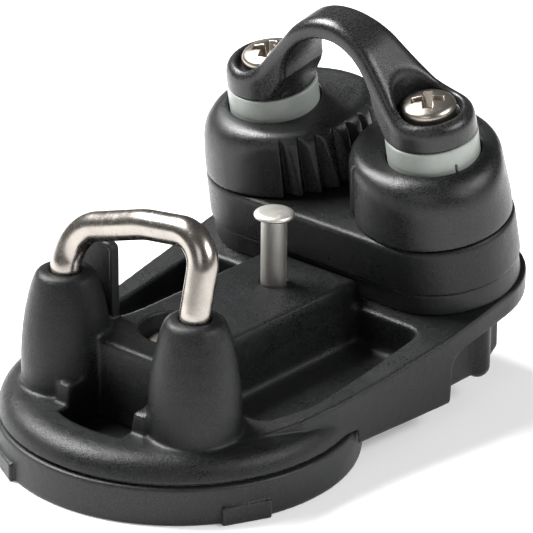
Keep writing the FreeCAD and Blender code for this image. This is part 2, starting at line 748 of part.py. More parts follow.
rod_nut = body("rod_nut")
plan = sketch(rod_nut, "rod_nut_profile", lift=size("arm_bottom") + 0.45)
hexagon(plan, size("rod_nut_flats"), px_post, size("post_y"))
circle(plan, px_post, size("post_y"), size("rod_radius") + 0.02)
pad(rod_nut, "rod_nut_pad", plan, size("rod_nut_height"))
nodes.append(pair("u_bolt_nuts", rod_nut))

# ---- cleat stack, drawn level and tilted by its placement ------------------

shift = size("plate_shift")
axle = size("axle_y")

wedge = on_platform(body("wedge_plate"))
plan = sketch(wedge, "wedge_plan")
stadium(plan, size("wedge_round"), shift)
circle(plan, 0, axle, size("screw_hole"))
circle(plan, 0, -axle, size("screw_hole"))
pad(wedge, "wedge", plan, size("wedge_thick"))
nodes.append(wedge)

plate = on_platform(body("cleat_base"))
plan = sketch(plate, "plate_plan", lift=size("wedge_thick"))
stadium(plan, size("plate_round"), shift)
circle(plan, 0, axle, size("screw_hole"))
circle(plan, 0, -axle, size("screw_hole"))
slab = pad(plate, "plate", plan, size("plate_top") - size("wedge_thick"))


def plate_rim(edge):
    wide = max(edge.BoundBox.XLength, edge.BoundBox.YLength)
    return at_height(size("plate_top").value)(edge) and wide > 4 * size("screw_hole").value


dress(plate, "Fillet", "plate_edge_round", slab, plate_rim, size("plate_edge"))
nodes.append(plate)

cam_bush = on_platform(body("cam_bush"))
plan = sketch(cam_bush, "axle_plan", lift=size("plate_top"))
circle(plan, 0, axle, size("axle_radius"))
circle(plan, 0, axle, size("screw_hole"))
pad(cam_bush, "axle", plan, size("collar_bottom") - size("plate_top"))
plan = sketch(cam_bush, "collar_plan", lift=size("collar_bottom"))
circle(plan, 0, axle, size("collar_radius"))
circle(plan, 0, axle, size("screw_hole"))
pad(cam_bush, "collar", plan, size("collar_top") - size("collar_bottom"))
nodes.append(pair("cam_bushes", cam_bush))


def nose_point(angle):
    centre_x = size("nose_shift") * sine(size("nose_angle"))
    centre_y = size("nose_shift") * cosine(size("nose_angle")) - axle
    return (centre_x + size("nose_radius") * sine(angle),
            centre_y + size("nose_radius") * cosine(angle))


def back_point(angle):
    return (size("cam_shift") + size("cam_round") * sine(angle),
            size("cam_round") * cosine(angle) - axle)


cam = on_platform(body("cam_right"))
plan = sketch(cam, "cam_plan", lift=size("cam_bottom"))
outline(plan,
        [nose_point(size("nose_finish")), nose_point(size("nose_start")),
         back_point(size("back_finish")), (size("cam_shift"), -axle - size("cam_round")),
         back_point(size("back_start")), (size("heel_x"), size("heel_y") - axle)],
        {0: (size("nose_radius"), True), 1: (size("cheek_radius"), True),
         2: (size("cam_round"), True), 3: (size("cam_round"), True),
         4: (size("heel_radius"), True), 5: (size("tip_radius"), True)})
block = pad(cam, "cam_block", plan, size("cam_top") - size("cam_bottom"),
            TaperAngle=-size("cam_draft"))
block = dress(cam, "Fillet", "cam_shoulder", block,
              at_height(size("cam_top").value), size("cam_shoulder"))

nose_centre = (size("nose_shift") * sine(size("nose_angle")),
               size("nose_shift") * cosine(size("nose_angle")) - axle)
first = size("nose_start") + size("flute_lead")
brink = size("nose_radius") + 0.6
plan = sketch(cam, "flute_plan", lift=size("cam_bottom"), shift=nose_centre)
outline(plan, [((size("nose_radius") - size("flute_depth")) * sine(first),
                (size("nose_radius") - size("flute_depth")) * cosine(first)),
               (brink * sine(first - 2.0), brink * cosine(first - 2.0)),
               (brink * sine(first + size("flute_ramp")), brink * cosine(first + size("flute_ramp")))])
flute = pocket(cam, "flute", plan, Midplane=True)
around(cam, "flutes", [flute], plan, size("flute_count"),
       size("flute_step") * (size("flute_count") - 1)).Reversed = True

for name, radius, low, high in (
        ("cam_bore", size("cam_bore"), size("cam_bottom"), size("cam_top")),
        ("cam_recess", size("cam_recess"), size("cam_recess_floor"), size("cam_top")),
        ("cam_dish", size("dish_radius"), size("cam_top") - size("dish_depth"), size("cam_top")),
        ("spring_room", size("spring_room"), size("cam_bottom"), size("spring_room_top"))):
    plan = sketch(cam, name + "_plan", lift=high)
    circle(plan, 0, -axle, radius)
    pocket(cam, name, plan, high - low)
nodes.append(cam)

twin = mirrored("cam_left", cam)
twin.Label = "cam_left"
nodes.append(twin)

# return springs in the rooms under the cams
turns = 2.6
helix = Part.makeLongHelix(size("spring_pitch").value, size("spring_pitch").value * turns,
                           size("spring_radius").value)
helix.translate(FreeCAD.Vector(0, -axle.value, size("spring_start").value))
spring = doc.addObject("Part::Feature", "spring_right")
spring.Label = "spring_right"
spring.Shape = swept(Part.Wire(helix.Edges), size("spring_wire").value)
on_platform(spring)
nodes.append(spring)
twin = mirrored("spring_left", spring)
twin.Label = "spring_left"
nodes.append(twin)

# strap bridging the two bushes
strap = on_platform(body("strap"))
plan = sketch(strap, "strap_plan", lift=size("collar_top"))
turn = Size(70.0, "70")
side_x = size("strap_boss") * sine(turn)
side_y = axle - size("strap_boss") * cosine(turn)
sag = side_x - size("strap_width") / 2
waist = (side_y * side_y + sag * sag) / (2 * sag)
outline(plan,
        [(side_x, -side_y), (side_x, side_y), (0, axle + size("strap_boss")),
         (-side_x, side_y), (-side_x, -side_y), (0, -axle - size("strap_boss"))],
        {0: (waist, False), 1: (size("strap_boss"), True), 2: (size("strap_boss"), True),
         3: (waist, False), 4: (size("strap_boss"), True), 5: (size("strap_boss"), True)})
pad(strap, "strap_block", plan, 24.0)

angle = size("flank_angle")
blend_y = 20.7
foot_y = blend_y - size("flank_blend") * sine(angle)
foot_z = size("strap_boss_top") + size("flank_blend") * (1 - cosine(angle))
brow_y = size("crown_radius") * sine(angle)
brow_z = size("crown_z") + size("crown_radius") * cosine(angle)
boss_top = size("strap_boss_top")
plan = sketch(strap, "strap_top_line", "YZ_Plane")
outline(plan,
        [(-30, boss_top), (-blend_y, boss_top), (-foot_y, foot_z), (-brow_y, brow_z),
         (brow_y, brow_z), (foot_y, foot_z), (blend_y, boss_top), (30, boss_top),
         (30, 60), (-30, 60)],
        {1: (size("flank_blend"), True), 3: (size("crown_radius"), False),
         5: (size("flank_blend"), True)})
pocket(strap, "strap_top", plan, Midplane=True)

arch = size("strap_arch")
arch_z = size("strap_arch_z")
plan = sketch(strap, "strap_arch_line", "YZ_Plane")
outline(plan, [(-arch, 29), (arch, 29), (arch, arch_z), (0, arch_z + arch), (-arch, arch_z)],
        {2: (arch, True), 3: (arch, True)})
pocket(strap, "strap_arch", plan, Midplane=True)

plan = sketch(strap, "strap_hole_plan", lift=size("collar_top"))
for side in (-1, 1):
    circle(plan, 0, axle * side, size("screw_hole"))
pocket(strap, "strap_holes", plan, Midplane=True)
plan = sketch(strap, "head_room_plan", lift=Size(60.0, "60"))
for side in (-1, 1):
    circle(plan, 0, axle * side, size("head_room"))
pocket(strap, "head_rooms", plan, 60.0 - size("head_seat"))
nodes.append(strap)

screw = on_platform(body("cleat_screw"))
plan = sketch(screw, "screw_profile", "XZ_Plane", lift=-axle)
radius = size("screw_radius")
head = size("head_radius")
outline(plan,
        [(0, size("screw_end")), (radius - 0.5, size("screw_end")),
         (radius, size("screw_end") + 0.5), (radius, size("head_seat")),
         (head, size("head_seat")), (head, size("head_rim")), (0, size("head_top"))],
        {5: (dome_radius(head, size("head_top") - size("head_rim")), True)})
spin(screw, "Revolution", "screw", plan)
plan = sketch(screw, "screw_cross", lift=size("head_top") + 0.1)
arm_half = 0.6
reach = 2.7
outline(plan, [(reach, axle - arm_half), (reach, axle + arm_half), (arm_half, axle + arm_half),
               (arm_half, axle + reach), (-arm_half, axle + reach), (-arm_half, axle + arm_half),
               (-reach, axle + arm_half), (-reach, axle - arm_half),
               (-arm_half, axle - arm_half), (-arm_half, axle - reach),
               (arm_half, axle - reach), (arm_half, axle - arm_half)])
pocket(screw, "screw_recess", plan, 1.9)
nodes.append(pair("cleat_screws", screw))

below = -size("platform_thick") - size("screw_washer_thick")
flat = on_platform(body("cleat_washer"))
plan = sketch(flat, "cleat_washer_plan", lift=below)
circle(plan, 0, axle, size("screw_washer"))
circle(plan, 0, axle, size("screw_hole"))
pad(flat, "cleat_washer_pad", plan, size("screw_washer_thick"))
nodes.append(pair("cleat_washers", flat))

cleat_nut = on_platform(body("cleat_nut"))
plan = sketch(cleat_nut, "cleat_nut_plan", lift=below - size("screw_nut_height"))
hexagon(plan, size("screw_nut_flats"), 0.0, axle)
circle(plan, 0, axle, radius + 0.02)
pad(cleat_nut, "cleat_nut_pad", plan, size("screw_nut_height"))
nodes.append(pair("cleat_nuts", cleat_nut))

# ---- lock pin, shown raised -------------------------------------------------

pin = body("lock_pin")
plan = sketch(pin, "pin_profile", "XZ_Plane", shift=(size("index_circle"), Size(0.0, "0")))
shank = size("pin_radius")
cap = size("pin_head")
brim = size("pin_top") - size("pin_head_thick")
outline(plan,
        [(0, size("pin_bottom")), (shank - 0.6, size("pin_bottom")),
         (shank, size("pin_bottom") + 0.6), (shank, brim), (cap - 0.3, brim),
         (cap, brim + 0.3), (cap, size("pin_top") - 0.4), (cap - 0.4, size("pin_top")),
         (0, size("pin_top"))])
spin(pin, "Revolution", "pin", plan)
nodes.append(pin)

# ---- checks and files --------------------------------------------------------

doc.recompute()
for thing in doc.Objects:
    if "Invalid" in thing.State or "Error" in thing.State:
        raise RuntimeError("%s does not compute: %s" % (thing.Name, thing.State))
os.makedirs("parts", exist_ok=True)
for node in nodes:
    if node.Shape.isNull() or not node.Shape.isValid():
        raise RuntimeError("%s has no valid shape" % node.Label)
    node.Shape.exportStep("parts/%s.step" % node.Label)
    print("%-16s solids %d  volume %9.1f" % (node.Label, len(node.Shape.Solids), node.Shape.Volume))
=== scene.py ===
import itertools
import math

import bpy
import numpy as np
from mathutils import Matrix, Vector


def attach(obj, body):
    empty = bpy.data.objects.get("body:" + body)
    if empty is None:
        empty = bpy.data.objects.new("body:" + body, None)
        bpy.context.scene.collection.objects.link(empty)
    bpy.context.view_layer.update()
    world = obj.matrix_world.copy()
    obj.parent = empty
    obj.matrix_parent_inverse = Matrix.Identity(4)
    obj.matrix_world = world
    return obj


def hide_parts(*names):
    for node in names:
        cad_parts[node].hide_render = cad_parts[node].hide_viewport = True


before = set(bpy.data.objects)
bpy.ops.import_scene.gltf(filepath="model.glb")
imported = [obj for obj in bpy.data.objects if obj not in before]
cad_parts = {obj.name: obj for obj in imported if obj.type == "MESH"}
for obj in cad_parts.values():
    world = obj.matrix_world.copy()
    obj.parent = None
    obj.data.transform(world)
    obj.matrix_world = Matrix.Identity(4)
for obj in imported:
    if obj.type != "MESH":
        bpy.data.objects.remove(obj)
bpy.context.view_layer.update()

# Looks of a swivelling cam cleat. Shapes are worked out in millimetres and become
# metres in put(). Row frame: origin under the base ring's centre, +X to the cleat,
# +Y to the left-hand cam, +Z up. The cleat stack has its own level frame, whose
# origin is on the tilted platform midway between the cam axles.

MM = 0.001
FAR = 50.0
COARSER = 1.0
SHARP_REACH = 0.6

BASE_RADIUS, BASE_HEIGHT = 33.0, 7.3
HUB_RADIUS, HUB_TOP = 5.2, 17.3
INDEX_CIRCLE, INDEX_HOLE, INDEX_COUNT = 25.74, 2.7, 12
DECK_CIRCLE, DECK_HOLE, DECK_SINK, DECK_COUNT = 18.5, 2.75, 5.2, 4
TAB_ANGLE, TAB_REACH, TAB_WIDTH, TAB_HEIGHT, TAB_COUNT = 243.0, 33.6, 9.2, 3.5, 4
TAB_ROOT = 29.0
HOLLOW_INNER, HOLLOW_OUTER, HOLLOW_TOP = 8.5, 14.2, 4.0
GLIDE_INNER, GLIDE_OUTER, GLIDE_FLOOR = 29.3, 31.2, 5.9
BOLT_BORE, BOLT_NUT_FLATS, BOLT_NUT_ROOM = 3.2, 10.2, 5.2
SWEEP_RADIUS, SINK_RADIUS, BUSH_OUTER, BUSH_TOP = 33.6, 6.9, 6.62, 17.1
DISC_RADIUS, DISC_LOW, DISC_TOP = 32.4, 7.6, 12.0
WALL_Y, WALL_INNER, WALL_REAR, WALL_DROP = 33.5, 26.9, 37.1, 4.65
PEG_X, PEG_Y, PEG_RADIUS, PEG_BALL_Z, WEB_LOW, WEB_HALF = 49.2, 29.3, 2.4, 7.0, 5.7, 0.8
HUMP_HALF, HUMP_TOP, HUMP_FRONT, HUMP_REAR = 11.0, 22.6, -13.4, 37.1
POCKET_FRONT, POCKET_REAR, POCKET_FLOOR = -3.5, 35.4, 10.4
CHANNEL_HALF, CHANNEL_RADIUS = 7.3, 24.2
POST_X, POST_Y, POST_TOP = -12.7, 15.4, 33.5
POST_HEIGHTS = (3.0, 7.6, 17.0, 20.0, 23.0, 26.0, 29.0, 31.0, 32.3, 33.5, 36.0)
POST_GIRTHS = (8.2, 8.2, 8.2, 8.05, 7.75, 7.3, 6.65, 6.1, 5.6, 5.1, 4.1)
KEEPER_TOP, KEEPER_INNER, KEEPER_OUTER = 37.2, 10.6, 20.0
KEEPER_FRONT, KEEPER_REAR, KEEPER_RIM = -5.8, -3.7, 0.9
ROD_RADIUS, ROD_BORE, ROD_END = 2.75, 2.8, 8.1
ROD_NUT_FLATS, ROD_NUT_ROOM = 9.2, 11.5
TILT = math.radians(11.42)
PLATFORM_X, PLATFORM_Z, PLATFORM_THICK, PLATFORM_ROUND = 52.83, 21.25, 4.4, 14.5
AXLE_Y = 19.0
WEDGE_ROUND, WEDGE_TOP, PLATE_ROUND, PLATE_TOP, PLATE_SHIFT = 14.0, 4.5, 14.4, 13.7, -0.8
AXLE_RADIUS, COLLAR_RADIUS, COLLAR_LOW, COLLAR_TOP = 6.5, 8.5, 24.7, 30.56
CAM_LOW, CAM_TOP, CAM_ROUND, CAM_SHIFT = 14.0, 26.4, 14.0, -1.05
CAM_DRAFT = math.tan(math.radians(5.2))
CAM_BORE, CAM_RECESS, CAM_RECESS_FLOOR = 6.57, 8.8, 24.4
SPRING_ROOM, SPRING_ROOM_TOP = 9.2, 18.8
NOSE_RADIUS, NOSE_SHIFT, NOSE_ANGLE = 17.1, 3.0, 60.0
NOSE_START, NOSE_FINISH, BACK_START, BACK_FINISH = -68.0, 40.0, 136.0, -95.0
HEEL_X, HEEL_Y, HEEL_RADIUS = 17.0, 7.2, 20.4
TIP_RADIUS, CHEEK_RADIUS = 10.0, 20.0
FLUTE_LEAD, FLUTE_STEP, FLUTE_COUNT, FLUTE_DEPTH = 11.0, 12.4, 7, 1.9
FLUTE_RAMP, FLUTE_WALL = 10.5, 1.3
BOSS_RADIUS, BOSS_TOP, STRAP_WIDTH = 8.4, 35.6, 9.8
ARCH_RADIUS, ARCH_Z, CROWN_RADIUS, CROWN_Z = 10.3, 35.8, 12.8, 36.9
BOSS_DRAFT, PLATE_DRAFT = 0.035, 0.03
FLANK_ANGLE, FLANK_BLEND, FLANK_END = math.radians(52.0), 7.0, 20.9
HEAD_RADIUS, HEAD_SEAT, HEAD_RIM, HEAD_TOP, HEAD_ROOM = 5.08, 33.8, 36.9, 37.5, 5.9
CROSS_DEPTH = 3.0
SCREW_HOLE, SCREW_RADIUS, SCREW_END = 2.7, 2.5, -10.0
PIN_X, PIN_RADIUS, PIN_BORE, PIN_HEAD, PIN_TOP, PIN_LOW = 25.74, 2.4, 2.46, 3.7, 36.7, 8.1

LEVEL = Matrix.Identity(4)
ON_PLATFORM = (Matrix.Translation((PLATFORM_X, 0, PLATFORM_Z))
               @ Matrix.Rotation(-TILT, 4, "Y"))


# ---- solids as distance fields ---------------------------------------------

def soft_min(a, b, blend):
    """Union of two fields, with a fillet about as large as blend."""
    blend = np.maximum(blend, 1e-6)
    near = np.maximum(blend - np.abs(a - b), 0)
    return np.minimum(a, b) - near * near / (4 * blend)


def soft_max(a, b, blend):
    return -soft_min(-a, -b, blend)


def polygon(px, py, points):
    """Signed distance from a closed outline, negative inside."""
    px, py = np.broadcast_arrays(px, py)
    best = np.full(px.shape, FAR ** 2)
    inside = np.zeros(px.shape, bool)
    for (ax, ay), (bx, by) in zip(points, points[1:] + points[:1]):
        ex, ey = bx - ax, by - ay
        if ex == 0 and ey == 0:
            continue
        wx, wy = px - ax, py - ay
        along = np.clip((wx * ex + wy * ey) / (ex * ex + ey * ey), 0, 1)
        best = np.minimum(best, (wx - along * ex) ** 2 + (wy - along * ey) ** 2)
        if ey != 0:
            inside ^= ((ay > py) != (by > py)) & (px < ex * (py - ay) / ey + ax)
    return (np.sqrt(best) * np.where(inside, -1, 1)).astype(np.float32)


def arc(cx, cy, radius, start, finish, count=24):
    """Points on a circle, with angles in degrees from +X towards +Y."""
    angles = np.radians(np.linspace(start, finish, count))
    return [(cx + radius * math.cos(a), cy + radius * math.sin(a)) for a in angles]


def rounded(corners):
    """Outline with a radius at each corner given as (x, y, radius)."""
    points = []
    count = len(corners)
    for i, (x, y, radius) in enumerate(corners):
        before = Vector(corners[i - 1][:2]) - Vector((x, y))
        after = Vector(corners[(i + 1) % count][:2]) - Vector((x, y))
        if radius <= 0:
            points.append((x, y))
            continue
        half = before.angle(after) / 2
        reach = min(radius / math.tan(half), before.length * 0.49, after.length * 0.49)
        first = Vector((x, y)) + before.normalized() * reach
        last = Vector((x, y)) + after.normalized() * reach
        for t in np.linspace(0, 1, 9):
            point = first * (1 - t) ** 2 + Vector((x, y)) * 2 * t * (1 - t) + last * t ** 2
            points.append((point.x, point.y))
    return points


def both_sides(half):
    """A closed outline from the points of its +Y half, front to rear."""
    return half + [(p[0], -p[1]) + tuple(p[2:]) for p in reversed(half)]


class Solid:
    """A solid as signed distances on a regular grid, in millimetres."""

    def __init__(self, low, high, step):
        self.step = step * COARSER
        self.low = np.array(low, float)
        counts = np.ceil((np.array(high) - self.low) / self.step).astype(int) + 1
        axes = [(low[i] + self.step * np.arange(counts[i])).astype(np.float32) for i in range(3)]
        self.x = axes[0][:, None, None]
        self.y = axes[1][None, :, None]
        self.z = axes[2][None, None, :]
        self.d = np.full(counts, FAR, np.float32)

    def plan(self, points):
        return polygon(self.x[:, :, 0], self.y[:, :, 0], points)[:, :, None]

    def side(self, points):
        return polygon(self.x[:, 0, :], self.z[:, 0, :], points)[:, None, :]

    def cross(self, points):
        return polygon(self.y[0], self.z[0], points)[None, :, :]

    def round(self, x=0.0, y=0.0):
        return np.hypot(self.x - x, self.y - y)

    def layer(self, low, high):
        return np.maximum(low - self.z, self.z - high)

    def add(self, other, blend=0.0):
        self.d = soft_min(self.d, other, blend)

    def cut(self, other, blend=0.0):
        self.d = soft_max(self.d, -other, blend)

    def sample(self, spots):
        """Field values at points given in grid steps."""
        top = np.array(self.d.shape) - 2
        cell = np.clip(spots.astype(int), 0, top)
        part = spots - cell
        total = 0
        for corner in itertools.product((0, 1), repeat=3):
            weight = np.prod(np.where(corner, part, 1 - part), axis=1)
            total = total + weight * self.d[tuple((cell + corner).T)]
        return total

    def surface(self):
        """Vertices, quads, normals and edge sharpness of the zero surface."""
        for border in (0, -1):
            for face in (self.d[border], self.d[:, border], self.d[:, :, border]):
                np.maximum(face, self.step / 2, out=face)
        inside = self.d < 0
        count = np.zeros(np.array(self.d.shape) - 1, np.int8)
        for a, b, c in itertools.product((0, 1), repeat=3):
            count += inside[a:a + count.shape[0], b:b + count.shape[1], c:c + count.shape[2]]
        active = (count > 0) & (count < 8)
        cells = np.argwhere(active)
        index = np.full(active.shape, -1, np.int64)
        index[active] = np.arange(len(cells))

        total = np.zeros((len(cells), 3))
        hits = np.zeros(len(cells))
        for axis in range(3):
            for corner in itertools.product((0, 1), repeat=3):
                if corner[axis]:
                    continue
                other = list(corner)
                other[axis] = 1
                first = self.d[tuple((cells + corner).T)]
                last = self.d[tuple((cells + other).T)]
                crossed = (first < 0) != (last < 0)
                point = np.tile(np.array(corner, float), (len(cells), 1))
                point[crossed, axis] = first[crossed] / (first - last)[crossed]
                total[crossed] += point[crossed]
                hits += crossed
        spots = cells + total / hits[:, None]

        quads = []
        for axis in range(3):
            u, v = (axis + 1) % 3, (axis + 2) % 3
            low = tuple(slice(0, -1) if i == axis else slice(None) for i in range(3))
            high = tuple(slice(1, None) if i == axis else slice(None) for i in range(3))
            flips = np.argwhere(inside[low] != inside[high])
            outward = inside[low][tuple(flips.T)]
            ring = []
            for du, dv in ((0, 0), (1, 0), (1, 1), (0, 1)):
                cell = flips.copy()
                cell[:, u] -= du
                cell[:, v] -= dv
                ring.append(index[tuple(cell.T)])
            quad = np.stack(ring, axis=1)
            quad[~outward] = quad[~outward][:, ::-1]
            quads.append(quad)

        centre = self.sample(spots)
        normals = np.zeros_like(spots)
        bend = -6 * centre
        for axis in range(3):
            offset = np.zeros(3)
            offset[axis] = SHARP_REACH
            ahead = self.sample(spots + offset)
            behind = self.sample(spots - offset)
            normals[:, axis] = ahead - behind
            bend += ahead + behind
        normals /= np.linalg.norm(normals, axis=1)[:, None] + 1e-9
        sharp = bend / self.step
        return spots * self.step + self.low, np.concatenate(quads), normals, sharp


# ---- from arrays to objects --------------------------------------------------

def put(name, points, faces, body, stands_for, material,
        place=LEVEL, normals=None, sharp=None):
    """Makes one rigid piece that rides on a body, from millimetres."""
    mesh = bpy.data.meshes.new(name)
    turn = np.array(place.to_3x3())
    spots = (np.asarray(points, float) @ turn.T + np.array(place.translation)) * MM
    mesh.from_pydata(spots.tolist(), [], [list(map(int, f)) for f in faces])
    mesh.update()
    mesh.polygons.foreach_set("use_smooth", np.ones(len(mesh.polygons), bool))
    if sharp is not None:
        layer = mesh.attributes.new("sharp", "FLOAT", "POINT")
        layer.data.foreach_set("value", np.clip(sharp, -1, 1).astype(np.float32))
    if normals is not None:
        mesh.normals_split_custom_set_from_vertices((normals @ turn.T).tolist())
    piece = bpy.data.objects.new(name, mesh)
    bpy.context.scene.collection.objects.link(piece)
    mesh.materials.append(material)
    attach(piece, body)
    if stands_for:
        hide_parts(*stands_for)
    return piece


def cast(name, solid, body, stands_for, material, place=LEVEL):
    points, faces, normals, sharp = solid.surface()
    return put(name, points, faces, body, stands_for, material,
               place, normals, sharp)


def lathe(profile, x=0.0, y=0.0, segments=72):
    """Points and faces of a closed profile of (radius, height), turned about an axis."""
    points = []
    rings = []
    for radius, height in profile:
        if radius < 1e-6:
            rings.append([len(points)] * segments)
            points.append((x, y, height))
            continue
        rings.append(list(range(len(points), len(points) + segments)))
        for angle in np.linspace(0, 2 * math.pi, segments, endpoint=False):
            points.append((x + radius * math.cos(angle), y + radius * math.sin(angle), height))
    faces = []
    for lower, upper in zip(rings, rings[1:]):
        for i in range(segments):
            j = (i + 1) % segments
            corners = [lower[i], lower[j], upper[j], upper[i]]
            faces.append([c for k, c in enumerate(corners) if c != corners[k - 1]])
    return points, faces


def route(corners, radii):
    """A path through corners, with an arc of the given radius at each inner one."""
    path = [Vector(corners[0])]
    for i, radius in enumerate(radii, start=1):
        here = Vector(corners[i])
        into = (here - Vector(corners[i - 1])).normalized()
        away = (Vector(corners[i + 1]) - here).normalized()
        turn = into.angle(away)
        back = radius * math.tan(turn / 2)
        centre = here + (away - into).normalized() * radius / math.cos(turn / 2)
        first = (here - into * back - centre).normalized()
        last = (here + away * back - centre).normalized()
        steps = max(4, int(math.degrees(turn) / 3))
        for k in range(steps + 1):
            path.append(centre + first.slerp(last, k / steps) * radius)
    path.append(Vector(corners[-1]))
    return path


def tube(path, radius, segments=40):
    """A round rod along a path, with flat caps at its ends."""
    dense = []
    for a, b in zip(path, path[1:]):
        count = max(1, int((b - a).length / 1.5))
        dense += [a.lerp(b, k / count) for k in range(count)]
    dense.append(path[-1])
    points, faces = [], []
    side = Vector((1, 0, 0))
    for i, spot in enumerate(dense):
        along = (dense[min(i + 1, len(dense) - 1)] - dense[max(i - 1, 0)]).normalized()
        side = (side - along * side.dot(along)).normalized()
        other = along.cross(side)
        for angle in np.linspace(0, 2 * math.pi, segments, endpoint=False):
            points.append(spot + (side * math.cos(angle) + other * math.sin(angle)) * radius)
    for i in range(len(dense) - 1):
        for k in range(segments):
            n = (k + 1) % segments
            faces.append([i * segments + k, i * segments + n,
                          (i + 1) * segments + n, (i + 1) * segments + k])
    last = (len(dense) - 1) * segments
    faces.append(list(range(segments))[::-1])
    faces.append(list(range(last, last + segments)))
    return [tuple(p) for p in points], faces


# ---- materials -----------------------------------------------------------------

class Finish:
    """A node material, built up call by call around one Principled shader."""

    def __init__(self, name):
        self.material = bpy.data.materials.new(name)
        self.material.use_nodes = True
        self.tree = self.material.node_tree
        self.shader = self.tree.nodes["Principled BSDF"]
        self.place = self.node("TexCoord").outputs["Object"]

    def node(self, kind, **settings):
        made = self.tree.nodes.new("ShaderNode" + kind)
        for key, value in settings.items():
            setattr(made, key, value)
        return made

    def feed(self, socket, value):
        if hasattr(value, "links"):
            self.tree.links.new(value, socket)
        else:
            socket.default_value = value

    def noise(self, size, detail=2.0, rough=0.5, stretch=None):
        """Noise whose features are about size millimetres across."""
        made = self.node("TexNoise")
        made.inputs["Scale"].default_value = 1.0 / (size * MM)
        made.inputs["Detail"].default_value = detail
        made.inputs["Roughness"].default_value = rough
        place = self.place
        if stretch:
            scaled = self.node("Mapping")
            scaled.inputs["Scale"].default_value = stretch
            self.feed(scaled.inputs["Vector"], place)
            place = scaled.outputs["Vector"]
        self.feed(made.inputs["Vector"], place)
        return made.outputs["Fac"]

    def math(self, what, a, b=0.0):
        made = self.node("Math", operation=what)
        self.feed(made.inputs[0], a)
        self.feed(made.inputs[1], b)
        return made.outputs["Value"]

    def spread(self, value, low, high, to_low=0.0, to_high=1.0):
        made = self.node("MapRange")
        for key, number in (("From Min", low), ("From Max", high),
                            ("To Min", to_low), ("To Max", to_high)):
            made.inputs[key].default_value = number
        self.feed(made.inputs["Value"], value)
        return made.outputs["Result"]

    def mix(self, share, a, b):
        made = self.node("Mix", data_type="RGBA")
        self.feed(made.inputs["Factor"], share)
        for socket, value in ((made.inputs[6], a), (made.inputs[7], b)):
            if isinstance(value, tuple) and len(value) == 3:
                value = value + (1.0,)
            self.feed(socket, value)
        return made.outputs[2]

    def attribute(self, name):
        return self.node("Attribute", attribute_name=name).outputs["Fac"]

    def bump(self, height, depth, strength=1.0, below=None):
        """Relief whose full height is depth millimetres."""
        made = self.node("Bump")
        made.inputs["Strength"].default_value = strength
        made.inputs["Distance"].default_value = depth * MM
        self.feed(made.inputs["Height"], height)
        if below is not None:
            self.feed(made.inputs["Normal"], below)
        return made.outputs["Normal"]

    def set(self, **sockets):
        for key, value in sockets.items():
            self.feed(self.shader.inputs[key.replace("_", " ")], value)
        return self.material


def nylon(name, dark, light, rough, relief, gloss=0.35):
    """Black glass-filled plastic: speckled fibres, fine moulded grain, polished edges, and a painted
    highlight that lightens the colour of convex edges.
    """
    f = Finish(name)
    fibres = f.spread(f.noise(0.32, 3.0, 0.65), 0.36, 0.66)
    clouds = f.noise(9.0, 3.0)
    speckle = f.spread(f.noise(0.16, 1.0), 0.60, 0.74)
    sharp = f.spread(f.attribute("sharp"), 0.05, 0.55)
    colour = f.mix(fibres, dark, light)
    colour = f.mix(f.math("MULTIPLY", speckle, 0.55), colour, tuple(min(1.0, c * 4.5) for c in light))
    colour = f.mix(f.math("MULTIPLY", f.spread(clouds, 0.35, 0.7), 0.25), colour, light)
    # painted highlight: convex edges lightened towards twice the light tone, standing in for lamp glints
    # on rounded edges
    colour = f.mix(f.math("MULTIPLY", sharp, 0.30), colour, tuple(c * 2.0 for c in light))
    worn = f.math("SUBTRACT", f.spread(clouds, 0.3, 0.7, rough - 0.05, rough + 0.06),
                  f.math("MULTIPLY", sharp, 0.10))
    worn = f.math("ADD", worn, f.spread(fibres, 0.0, 1.0, -0.09, 0.09))
    grain = f.bump(f.noise(0.34, 4.0, 0.75), relief)
    grain = f.bump(f.noise(2.6, 2.0), relief * 1.3, below=grain)
    return f.set(Base_Color=colour, Roughness=worn, Normal=grain, Specular_IOR_Level=gloss)


def steel(name, colour, rough, scratch, stretch=(1.0, 1.0, 1.0)):
    """Stainless steel with fine drawn lines, handling marks and faint clouding."""
    f = Finish(name)
    lines = f.noise(0.22, 3.0, 0.7, stretch)
    clouds = f.noise(3.5, 3.0)
    marks = f.spread(f.noise(0.9, 4.0, 0.8), 0.56, 0.72)
    shade = f.mix(f.spread(clouds, 0.3, 0.7), colour, tuple(c * 0.86 for c in colour))
    shade = f.mix(f.math("MULTIPLY", marks, 0.22), shade, tuple(c * 0.6 for c in colour))
    worn = f.math("ADD", f.spread(clouds, 0.3, 0.7, rough - 0.04, rough + 0.05),
                  f.math("MULTIPLY", marks, 0.14))
    grain = f.bump(lines, scratch)
    return f.set(Base_Color=shade, Metallic=1.0, Roughness=worn, Normal=grain)


def acetal(name, colour, rough):
    """Pale bearing plastic: waxy, faintly mottled, with scattered darker specks."""
    f = Finish(name)
    clouds = f.spread(f.noise(2.2, 4.0, 0.6), 0.3, 0.7)
    specks = f.spread(f.noise(0.35, 2.0), 0.62, 0.75)
    shade = f.mix(clouds, colour, tuple(c * 0.88 for c in colour))
    shade = f.mix(f.math("MULTIPLY", specks, 0.25), shade, tuple(c * 0.55 for c in colour))
    worn = f.spread(clouds, 0.0, 1.0, rough - 0.05, rough + 0.07)
    grain = f.bump(f.noise(0.5, 3.0, 0.6), 0.012)
    return f.set(Base_Color=shade, Roughness=worn, Normal=grain,
                 Subsurface_Weight=0.08, Subsurface_Scale=0.002)


